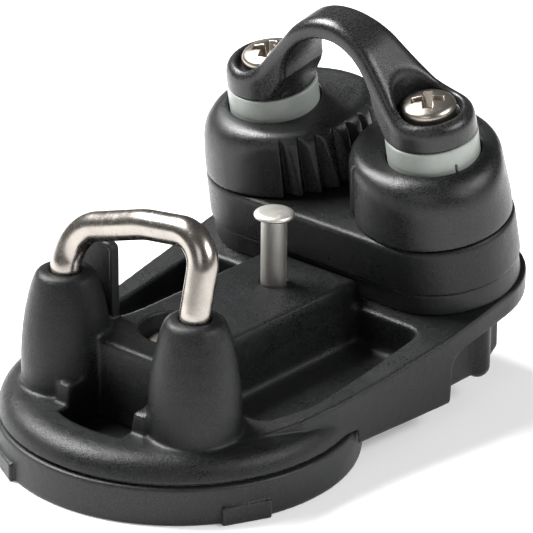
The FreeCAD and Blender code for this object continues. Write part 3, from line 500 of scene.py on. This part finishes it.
arm_plastic = nylon("arm_nylon", (0.0028, 0.0030, 0.0032), (0.012, 0.0125, 0.013), 0.37, 0.075, 0.23)
base_plastic = nylon("base_nylon", (0.004, 0.0042, 0.0044), (0.016, 0.0165, 0.017), 0.42, 0.065, 0.26)
cam_plastic = nylon("cam_fibre", (0.0035, 0.0037, 0.0038), (0.015, 0.0155, 0.016), 0.35, 0.045, 0.32)
strap_plastic = nylon("strap_nylon", (0.0045, 0.0045, 0.0046), (0.016, 0.016, 0.0165), 0.32, 0.028, 0.38)
collar_plastic = acetal("collar_acetal", (0.28, 0.30, 0.28), 0.40)
bush_plastic = acetal("bush_acetal", (0.70, 0.70, 0.66), 0.40)
rod_steel = steel("rod_steel", (0.36, 0.33, 0.30), 0.24, 0.004, (1.0, 1.0, 0.15))
pin_steel = steel("pin_steel", (0.66, 0.64, 0.60), 0.45, 0.006, (1.0, 1.0, 0.06))
screw_steel = steel("screw_steel", (0.44, 0.395, 0.35), 0.30, 0.004)
nut_steel = steel("nut_steel", (0.60, 0.59, 0.57), 0.28, 0.008)
spring_steel = steel("spring_wire", (0.50, 0.50, 0.50), 0.30, 0.004)


# ---- base ------------------------------------------------------------------------

def base_ring():
    s = Solid((-35, -35, -1), (35, 35, HUB_TOP + 1), 0.4)
    r = s.round()
    s.add(soft_max(r - BASE_RADIUS, s.layer(0, BASE_HEIGHT), 0.7))
    for k in range(TAB_COUNT):
        angle = math.radians(TAB_ANGLE + 360 / TAB_COUNT * k)
        out = s.x * math.cos(angle) + s.y * math.sin(angle)
        across = np.abs(s.y * math.cos(angle) - s.x * math.sin(angle))
        tab = soft_max(soft_max(out - TAB_REACH, TAB_ROOT - out, 0.3),
                       soft_max(across - TAB_WIDTH / 2, s.layer(0, TAB_HEIGHT), 0.3), 0.3)
        s.add(tab, 0.15)
    s.add(soft_max(r - HUB_RADIUS, s.layer(0, HUB_TOP), 0.5), 0.4)
    s.cut(np.maximum(np.maximum(HOLLOW_INNER - r, r - HOLLOW_OUTER), s.z - HOLLOW_TOP), 0.3)
    s.cut(np.maximum(np.maximum(GLIDE_INNER - r, r - GLIDE_OUTER), GLIDE_FLOOR - s.z), 0.2)
    s.cut(r - BOLT_BORE, 0.2)
    s.cut(np.maximum(hex_field(s, BOLT_NUT_FLATS), s.z - BOLT_NUT_ROOM), 0.2)
    for k in range(INDEX_COUNT):
        angle = 2 * math.pi * k / INDEX_COUNT
        s.cut(s.round(INDEX_CIRCLE * math.cos(angle), INDEX_CIRCLE * math.sin(angle))
              - INDEX_HOLE, 0.3)
    for k in range(DECK_COUNT):
        angle = math.radians(45 + 90 * k)
        near = s.round(DECK_CIRCLE * math.cos(angle), DECK_CIRCLE * math.sin(angle))
        s.cut(near - np.maximum(DECK_HOLE, DECK_SINK - (BASE_HEIGHT - s.z)), 0.2)
    cast("base_ring_skin", s, "base", ["base_ring"], base_plastic)


def hex_field(s, flats, x=0.0, y=0.0):
    """Distance from an upright hexagonal prism with flats facing +Y."""
    best = None
    for k in range(3):
        angle = math.radians(90 + 60 * k)
        side = np.abs((s.x - x) * math.cos(angle) + (s.y - y) * math.sin(angle)) - flats / 2
        best = side if best is None else np.maximum(best, side)
    return best


# ---- swivelling arm ----------------------------------------------------------------

def swivel_arm():
    s = Solid((-34.4, -35, 3.4), (69, 35, 38.6), 0.4)
    slope = math.tan(TILT)
    px, pz = PLATFORM_X, PLATFORM_Z
    far = px + PLATFORM_ROUND
    under = PLATFORM_THICK / math.cos(TILT)

    # wedge-shaped part from the posts to the platform, cut by its side view
    tail = arc(px, WALL_Y - PLATFORM_ROUND, PLATFORM_ROUND, 90, 0, 16)
    shape = s.plan(both_sides([(-12.0, 23.8), (-5.2, 27.2), (0.0, 29.4), (8.0, 30.7),
                               (18.0, 31.5), (27.0, 32.3), (36.0, 33.0), (44.0, 33.4)] + tail))
    rear = WALL_REAR
    corner = rear + 3.6
    profile = s.side(rounded([
        (-40, WALL_DROP, 0), (rear, WALL_DROP, 0.6),
        (rear + 0.4, pz - under - (px - corner) * slope - 0.4, 4.0),
        (far + 10, pz - under + (PLATFORM_ROUND + 10) * slope, 0),
        (far + 10, pz + (PLATFORM_ROUND + 10) * slope, 0),
        (px - 17, pz - 17 * slope, 30), (18, 15.3, 30), (0, 13.6, 20), (-10, 12.1, 10),
        (-40, 11.9, 0)]))
    s.add(soft_max(shape, profile, 0.7))
    s.cut(np.maximum(s.round() - SWEEP_RADIUS, s.z - DISC_LOW), 0.2)

    # round end over the base ring, with a well rounded rim
    r = s.round()
    disc = soft_max(soft_max(r - DISC_RADIUS, s.z - DISC_TOP, 5.0), DISC_LOW - s.z, 0.3)
    s.add(disc, 0.4)

    # centre hump flaring into the posts
    hump = s.plan(both_sides([(HUMP_FRONT, 16.5), (-8.5, 16.5), (-6.2, 13.6), (-4.0, 11.9),
                              (-0.8, 11.2), (3.0, HUMP_HALF), (HUMP_REAR, HUMP_HALF)]))
    s.add(soft_max(hump, s.layer(DISC_LOW, HUMP_TOP), 1.7), 1.6)

    # side pockets
    for side in (-1, 1):
        outline = rounded([(POCKET_FRONT, side * 11.8, 2.0), (3.0, side * HUMP_HALF, 6.0),
                           (POCKET_REAR, side * HUMP_HALF, 1.6),
                           (POCKET_REAR, side * WALL_INNER, 3.4),
                           (5.5, side * WALL_INNER, 9.0),
                           (POCKET_FRONT, side * (WALL_INNER - 3.4), 4.0)])
        s.cut(soft_max(s.plan(outline), POCKET_FLOOR - s.z, 2.2), 0.9)

    # ribs beside the channel, then the channel itself
    for side in (-1, 1):
        rib = s.plan([(-20.8, side * CHANNEL_HALF), (-20.8, side * 10.4),
                      (-18.5, side * 11.3), (-12, side * 11.3), (-12, side * CHANNEL_HALF)])
        ramp = s.side([(-21.8, 6), (-20.4, 15.4), (-19.4, 15.8), (-12, 15.8), (-12, 6)])
        s.add(soft_max(rib, ramp, 1.0), 0.9)
    tip = -math.sqrt(CHANNEL_RADIUS ** 2 - CHANNEL_HALF ** 2)
    half = math.degrees(math.asin(CHANNEL_HALF / CHANNEL_RADIUS))
    channel = s.plan([(HUMP_FRONT + 0.01, -CHANNEL_HALF), (HUMP_FRONT + 0.01, CHANNEL_HALF),
                      (tip, CHANNEL_HALF)]
                     + arc(0, 0, CHANNEL_RADIUS, 180 - half, 180 + half, 12)[1:])
    s.cut(np.maximum(channel, s.z - 40), 0.8)

    # bullet-shaped posts for the wire
    girth = np.interp(s.z, POST_HEIGHTS, POST_GIRTHS).astype(np.float32)
    for side in (-1, 1):
        post = (s.round(POST_X, side * POST_Y) - girth) * 0.97
        s.add(soft_max(post, s.layer(DISC_LOW, POST_TOP), 1.2), 1.0)

    # keeper plate behind the left post, with a raised rim
    plate = rounded([(KEEPER_INNER, 10.0, 0), (KEEPER_OUTER, 10.0, 0),
                     (KEEPER_OUTER, KEEPER_TOP, 1.8), (KEEPER_INNER, KEEPER_TOP, 1.8)])
    slab = s.cross(plate)
    keeper = soft_max(slab, np.maximum(KEEPER_FRONT - s.x, s.x - KEEPER_REAR), 0.5)
    recess = np.maximum(slab + KEEPER_RIM, s.x - KEEPER_FRONT - 0.6)
    s.add(soft_max(keeper, -recess, 0.3), 0.4)

    # pegs and ribs under the platform
    hung = pz - under - 0.5 - (px - PEG_X) * slope + 1.2
    for side in (-1, 1):
        web = s.side([(rear - 1.5, WEB_LOW), (PEG_X, WEB_LOW), (PEG_X + 5.2, 9.2),
                      (PEG_X + 5.2, hung + 0.6), (rear - 1.5, hung - 2.4)])
        s.add(soft_max(web, np.abs(s.y - side * PEG_Y) - WEB_HALF, 0.4), 0.8)
        peg = np.hypot(s.round(PEG_X, side * PEG_Y), np.maximum(PEG_BALL_Z - s.z, 0)) - PEG_RADIUS
        s.add(np.maximum(peg, s.z - hung), 0.7)

    # bores
    s.cut(np.maximum(r - SINK_RADIUS, BUSH_TOP - s.z), 0.7)
    s.cut(r - BUSH_OUTER, 0.2)
    s.cut(s.round(PIN_X, 0) - PIN_BORE, 0.35)
    for side in (-1, 1):
        leg = s.round(POST_X, side * POST_Y)
        s.cut(np.maximum(leg - ROD_BORE, 5 - s.z), 0.5)
        s.cut(np.maximum(hex_field(s, ROD_NUT_FLATS, POST_X, side * POST_Y), s.z - ROD_NUT_ROOM), 0.2)
    c, n = math.cos(TILT), math.sin(TILT)
    along = (s.x - px) * c + (s.z - pz) * n
    for side in (-1, 1):
        s.cut(np.maximum(np.hypot(along, s.y - side * AXLE_Y) - SCREW_HOLE, 44 - s.x), 0.3)
    cast("swivel_arm_skin", s, "arm", ["swivel_arm"], arm_plastic)


def wire_fairlead():
    lean = POST_TOP + 0.7
    path = route([(POST_X, POST_Y, ROD_END), (POST_X, POST_Y, lean),
                  (POST_X + 2.4, POST_Y, 40.7), (POST_X + 3.0, -1.2, 46.0),
                  (POST_X + 3.3, -POST_Y, 47.9), (POST_X, -POST_Y, lean),
                  (POST_X, -POST_Y, ROD_END)], [5.0, 8.0, 17.5, 5.5, 5.0])
    points, faces = tube(path, ROD_RADIUS)
    put("wire_fairlead", points, faces, "arm", ["u_bolt"], rod_steel)


# ---- cleat stack, in its own level frame -------------------------------------------------

def stadium(s, radius, shift):
    return np.hypot(s.x - shift, np.maximum(np.abs(s.y) - AXLE_Y, 0)) - radius


def cleat_plates():
    for name, radius, low, high, edge, node, slot, finish in (
            ("wedge_plate_skin", WEDGE_ROUND, 0.0, WEDGE_TOP, 0.5,
             "wedge_plate", "base_plastic", base_plastic),
            ("cleat_base_skin", PLATE_ROUND, WEDGE_TOP, PLATE_TOP, 1.1,
             "cleat_base", "arm_plastic", arm_plastic)):
        s = Solid((-17, -36, low - 1), (16, 36, high + 1), 0.35)
        body = stadium(s, radius, PLATE_SHIFT) + (s.z - low) * PLATE_DRAFT
        s.add(soft_max(soft_max(body, s.z - high, edge), low - s.z, 0.35))
        for side in (-1, 1):
            s.cut(s.round(0, side * AXLE_Y) - SCREW_HOLE, 0.2)
        cast(name, s, "arm", [node], finish, ON_PLATFORM)


def bushes():
    for side, tag in ((-1, "right"), (1, "left")):
        s = Solid((-9.4, side * AXLE_Y - 9.4, PLATE_TOP - 0.6),
                  (9.4, side * AXLE_Y + 9.4, COLLAR_TOP + 0.6), 0.22)
        r = s.round(0, side * AXLE_Y)
        s.add(np.maximum(r - AXLE_RADIUS, s.layer(PLATE_TOP, COLLAR_LOW + 1)))
        s.add(soft_max(r - COLLAR_RADIUS, s.layer(COLLAR_LOW, COLLAR_TOP), 0.35))
        ring = np.hypot(r - COLLAR_RADIUS - 0.03, s.z - COLLAR_LOW - 1.75) - 0.12
        s.cut(ring, 0.2)
        angle = math.radians(248 if side < 0 else 112)
        across = s.x * math.sin(angle) - (s.y - side * AXLE_Y) * math.cos(angle)
        out = s.x * math.cos(angle) + (s.y - side * AXLE_Y) * math.sin(angle)
        nick = np.maximum(np.maximum(np.abs(across) - 0.16, 7.3 - out),
                          s.layer(COLLAR_LOW - 1, COLLAR_LOW + 2.7))
        s.cut(nick, 0.1)
        s.cut(r - SCREW_HOLE, 0.2)
        cast("cam_bush_" + tag, s, "arm", ["cam_bushes"],
             collar_plastic, ON_PLATFORM)


def bow(start, end, radius, steps=24):
    """Points after start on the arc that bulges to the right on its way to end."""
    start, end = Vector(start), Vector(end)
    chord = end - start
    rise = math.sqrt(radius ** 2 - chord.length_squared / 4)
    centre = (start + end) / 2 + chord.orthogonal().normalized() * rise
    begin = math.degrees(math.atan2(start.y - centre.y, start.x - centre.x))
    finish = math.degrees(math.atan2(end.y - centre.y, end.x - centre.x))
    if finish < begin:
        finish += 360
    return arc(centre.x, centre.y, radius, begin, finish, steps)[1:]


def cam_outline(toothed):
    """Plan of the right-hand cam; its axle is at (0, -AXLE_Y)."""
    lean = math.radians(NOSE_ANGLE)
    cx, cy = NOSE_SHIFT * math.sin(lean), NOSE_SHIFT * math.cos(lean) - AXLE_Y
    first = NOSE_START + FLUTE_LEAD
    last = first + FLUTE_STEP * (FLUTE_COUNT - 1) + FLUTE_RAMP
    points = []
    for angle in np.linspace(NOSE_FINISH, NOSE_START, 320):
        depth = 0.0
        if toothed and first - FLUTE_WALL <= angle <= last:
            place = (angle - first) % FLUTE_STEP
            wall = (place - FLUTE_STEP + FLUTE_WALL) / FLUTE_WALL
            depth = FLUTE_DEPTH * max(0.0, 1 - place / FLUTE_RAMP, wall)
        a = math.radians(angle)
        points.append((cx + (NOSE_RADIUS - depth) * math.sin(a),
                       cy + (NOSE_RADIUS - depth) * math.cos(a)))
    back = arc(CAM_SHIFT, -AXLE_Y, CAM_ROUND, 90 - BACK_FINISH, 450 - BACK_START, 60)
    heel = (HEEL_X, HEEL_Y - AXLE_Y)
    cheek = bow(points[-1], back[0], CHEEK_RADIUS)
    return (points + cheek + back[1:] + bow(back[-1], heel, HEEL_RADIUS)
            + bow(heel, points[0], TIP_RADIUS)[:-1])


def cams():
    for side, tag in ((-1, "right"), (1, "left")):
        low_y, high_y = sorted((side * 35.0, side * -1.2))
        s = Solid((-17, low_y, CAM_LOW - 0.8), (21, high_y, CAM_TOP + 0.8), 0.24)
        plain = [(x, -side * y) for x, y in cam_outline(False)]
        bite = [(x, -side * y) for x, y in cam_outline(True)]
        inset = (s.z - CAM_LOW) * CAM_DRAFT
        brow = 0.75 * (side * s.y - AXLE_Y) - 0.66 * s.x
        shoulder = np.interp(brow, (2, 12), (2.8, 6.0)).astype(np.float32)
        block = soft_max(s.plan(plain) + inset, s.z - CAM_TOP, shoulder)
        s.add(soft_max(block, CAM_LOW - s.z, 0.4))
        s.d = soft_max(s.d, s.plan(bite), 0.22)
        r = s.round(0, side * AXLE_Y)
        s.cut(np.maximum(r - CAM_RECESS, CAM_RECESS_FLOOR - s.z), 0.5)
        s.cut(r - CAM_BORE, 0.2)
        s.cut(np.maximum(r - SPRING_ROOM, s.z - SPRING_ROOM_TOP), 0.2)
        cast("cam_%s_skin" % tag, s, tag + "_cam", ["cam_" + tag],
             cam_plastic, ON_PLATFORM)


def strap():
    s = Solid((-9.6, -28.6, COLLAR_TOP - 0.8), (9.6, 28.6, 50), 0.28)
    turn = math.radians(70)
    side_x = BOSS_RADIUS * math.sin(turn)
    side_y = AXLE_Y - BOSS_RADIUS * math.cos(turn)
    sag = side_x - STRAP_WIDTH / 2
    waist = (side_y ** 2 + sag ** 2) / (2 * sag)
    swing = math.degrees(math.asin(side_y / waist))
    right = arc(STRAP_WIDTH / 2 + waist, 0, waist, 180 + swing, 180 - swing, 30)
    top = arc(0, AXLE_Y, BOSS_RADIUS, -20, 200, 40)
    outline = (right + top + [(-x, -y) for x, y in right] + [(-x, -y) for x, y in top])
    draft = np.maximum(s.z - COLLAR_TOP, 0) * BOSS_DRAFT
    plan = s.plan(outline) + draft
    boss = np.minimum(s.round(0, AXLE_Y), s.round(0, -AXLE_Y)) - BOSS_RADIUS + draft

    lift = BOSS_TOP + FLANK_BLEND
    start = math.degrees(FLANK_ANGLE)
    half = [(30, 20), (30, BOSS_TOP)]
    half += arc(FLANK_END, lift, FLANK_BLEND, 270, 270 - start, 12)
    half += arc(0, CROWN_Z, CROWN_RADIUS, 90 - start, 90, 16)
    line = half + [(-y, z) for y, z in reversed(half)]
    body = soft_max(plan, s.cross(line), 2.6)
    s.add(soft_max(body, COLLAR_TOP - s.z, 0.5))
    arch = arc(0, ARCH_Z, ARCH_RADIUS, 0, 180, 30)
    mouth = [(11.2, 34.0), (13.0, 31.5), (15.5, 29.0)]
    bell = s.cross(arch + [(-y, z) for y, z in mouth] + mouth[::-1])
    s.cut(soft_max(bell, -boss, 0.8), 0.8)
    for side in (-1, 1):
        r = s.round(0, side * AXLE_Y)
        s.cut(np.maximum(r - HEAD_ROOM, HEAD_SEAT - s.z), 1.0)
        s.cut(r - SCREW_HOLE, 0.2)
    cast("strap_skin", s, "arm", ["strap"], strap_plastic, ON_PLATFORM)


def cleat_screws():
    for side, tag in ((-1, "right"), (1, "left")):
        y = side * AXLE_Y
        s = Solid((-5.6, y - 5.6, HEAD_SEAT - 1.2), (5.6, y + 5.6, HEAD_TOP + 0.5), 0.11)
        r = s.round(0, y)
        rise = HEAD_TOP - HEAD_RIM + 0.5
        ball = (HEAD_RADIUS ** 2 + rise ** 2) / (2 * rise)
        dome = np.hypot(r, s.z - HEAD_TOP + ball) - ball
        s.add(soft_max(soft_max(r - HEAD_RADIUS, dome, 0.9), HEAD_SEAT - s.z, 0.3))
        s.add(np.maximum(r - SCREW_RADIUS, s.layer(HEAD_SEAT - 0.9, HEAD_SEAT + 1)))
        turned = math.radians(38 if side < 0 else 20)
        a = s.x * math.cos(turned) + (s.y - y) * math.sin(turned)
        b = (s.y - y) * math.cos(turned) - s.x * math.sin(turned)
        deep = np.clip(HEAD_TOP - s.z, 0, 3)
        for one, other in ((a, b), (b, a)):
            wing = np.maximum(np.abs(one) - (0.85 - 0.12 * deep),
                              np.abs(other) - (3.1 - 0.55 * deep))
            s.cut(soft_max(wing, HEAD_TOP - CROSS_DEPTH - s.z, 0.3), 0.18)
        heart = np.abs(a) + np.abs(b) - (1.7 - 0.35 * deep)
        s.cut(np.maximum(heart, HEAD_TOP - CROSS_DEPTH - s.z), 0.15)
        cast("screw_head_" + tag, s, "arm", ["cleat_screws"],
             screw_steel, ON_PLATFORM)
        points, faces = lathe([(0, SCREW_END), (SCREW_RADIUS - 0.5, SCREW_END),
                               (SCREW_RADIUS, SCREW_END + 0.5), (SCREW_RADIUS, HEAD_SEAT - 0.5),
                               (0, HEAD_SEAT - 0.5)], 0, y, 48)
        put("screw_shank_" + tag, points, faces, "arm", [], nut_steel, ON_PLATFORM)


def lock_pin():
    cap = PIN_TOP - 1.1
    points, faces = lathe(
        [(0, PIN_LOW), (1.8, PIN_LOW), (2.15, PIN_LOW + 0.12), (PIN_RADIUS, PIN_LOW + 0.6),
         (PIN_RADIUS, cap - 0.35), (PIN_RADIUS + 0.1, cap - 0.1), (PIN_RADIUS + 0.35, cap),
         (PIN_HEAD - 0.35, cap), (PIN_HEAD - 0.1, cap + 0.1), (PIN_HEAD, cap + 0.35),
         (PIN_HEAD, cap + 0.55), (PIN_HEAD - 0.12, cap + 0.8), (PIN_HEAD - 0.4, PIN_TOP - 0.12),
         (2.6, PIN_TOP - 0.02), (0, PIN_TOP)], PIN_X, 0)
    put("lock_pin_skin", points, faces, "pin", ["lock_pin"], pin_steel)


def carried_over():
    """CAD nodes whose shape is right keep it and get a finished material."""
    for node, finish, edge in (
            ("glide_ring", bush_plastic, 0.0), ("pivot_washer", nut_steel, 0.0),
            ("pivot_bolt", screw_steel, 0.0), ("pivot_nut", nut_steel, 0.3),
            ("pivot_bush", bush_plastic, 0.0), ("u_bolt_nuts", nut_steel, 0.3),
            ("spring_right", spring_steel, 0.0), ("spring_left", spring_steel, 0.0),
            ("cleat_washers", nut_steel, 0.0), ("cleat_nuts", nut_steel, 0.3)):
        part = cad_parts[node]
        part.data.materials.clear()
        part.data.materials.append(finish)
        if edge:
            soft = part.modifiers.new("edge", "BEVEL")
            soft.width = edge * MM
            soft.segments = 2
            soft.limit_method = "ANGLE"


base_ring()
swivel_arm()
wire_fairlead()
cleat_plates()
bushes()
cams()
strap()
cleat_screws()
lock_pin()
carried_over()


# ---- floor, light and camera ---------------------------------------------------------

def stage():
    f = Finish("paper")
    f.set(Base_Color=f.mix(f.noise(60.0), (0.86, 0.86, 0.86), (0.88, 0.88, 0.88)),
          Roughness=0.9, Specular_IOR_Level=0.1,
          Emission_Color=(1.0, 1.0, 1.0, 1.0), Emission_Strength=0.20)
    mesh = bpy.data.meshes.new("floor")
    half = 3.0
    mesh.from_pydata([(-half, -half, 0), (half, -half, 0), (half, half, 0), (-half, half, 0)],
                     [], [(0, 1, 2, 3)])
    floor = bpy.data.objects.new("floor", mesh)
    mesh.materials.append(f.material)
    bpy.context.scene.collection.objects.link(floor)


def lamp(name, spot, target, size, watts, tint=(1.0, 1.0, 1.0)):
    data = bpy.data.lights.new(name, "AREA")
    data.shape = "RECTANGLE"
    data.size, data.size_y = size
    data.energy = watts
    data.color = tint
    made = bpy.data.objects.new(name, data)
    made.location = spot
    made.rotation_euler = (Vector(target) - Vector(spot)).to_track_quat("-Z", "Y").to_euler()
    bpy.context.scene.collection.objects.link(made)


def camera():
    """Long lens from the fairlead's right, looking down at the arm."""
    azimuth, elevation, roll = (math.radians(v) for v in (40.841, 24.320, 0.491))
    distance, target = 670.93 * MM, Vector((25.0, 1.104, 25.588)) * MM
    look = Vector((math.cos(azimuth) * math.cos(elevation),
                   math.sin(azimuth) * math.cos(elevation), -math.sin(elevation)))
    right = look.cross(Vector((0, 0, 1))).normalized()
    up = right.cross(look)
    right, up = (right * math.cos(roll) + up * math.sin(roll),
                 up * math.cos(roll) - right * math.sin(roll))
    data = bpy.data.cameras.new("camera")
    data.lens = 248.8
    data.sensor_width = 36.0
    data.clip_start, data.clip_end = 0.01, 20.0
    eye = bpy.data.objects.new("camera", data)
    turn = Matrix((right, up, -look)).transposed().to_4x4()
    eye.matrix_world = Matrix.Translation(target - look * distance) @ turn
    bpy.context.scene.collection.objects.link(eye)
    bpy.context.scene.camera = eye


stage()
camera()
middle = (0.02, 0.0, 0.02)
lamp("key", (-0.15, 0.75, 0.95), middle, (0.7, 0.5), 44.0)
lamp("front", (-0.9, -0.35, 0.55), middle, (0.5, 0.5), 1.4)
lamp("right", (0.35, -0.95, 0.75), middle, (0.6, 0.5), 12.0)
world = bpy.data.worlds.new("studio")
world.use_nodes = True
world.node_tree.nodes["Background"].inputs["Color"].default_value = (1, 1, 1, 1)
world.node_tree.nodes["Background"].inputs["Strength"].default_value = 0.12
bpy.context.scene.world = world
bpy.context.scene.view_settings.view_transform = "Standard"
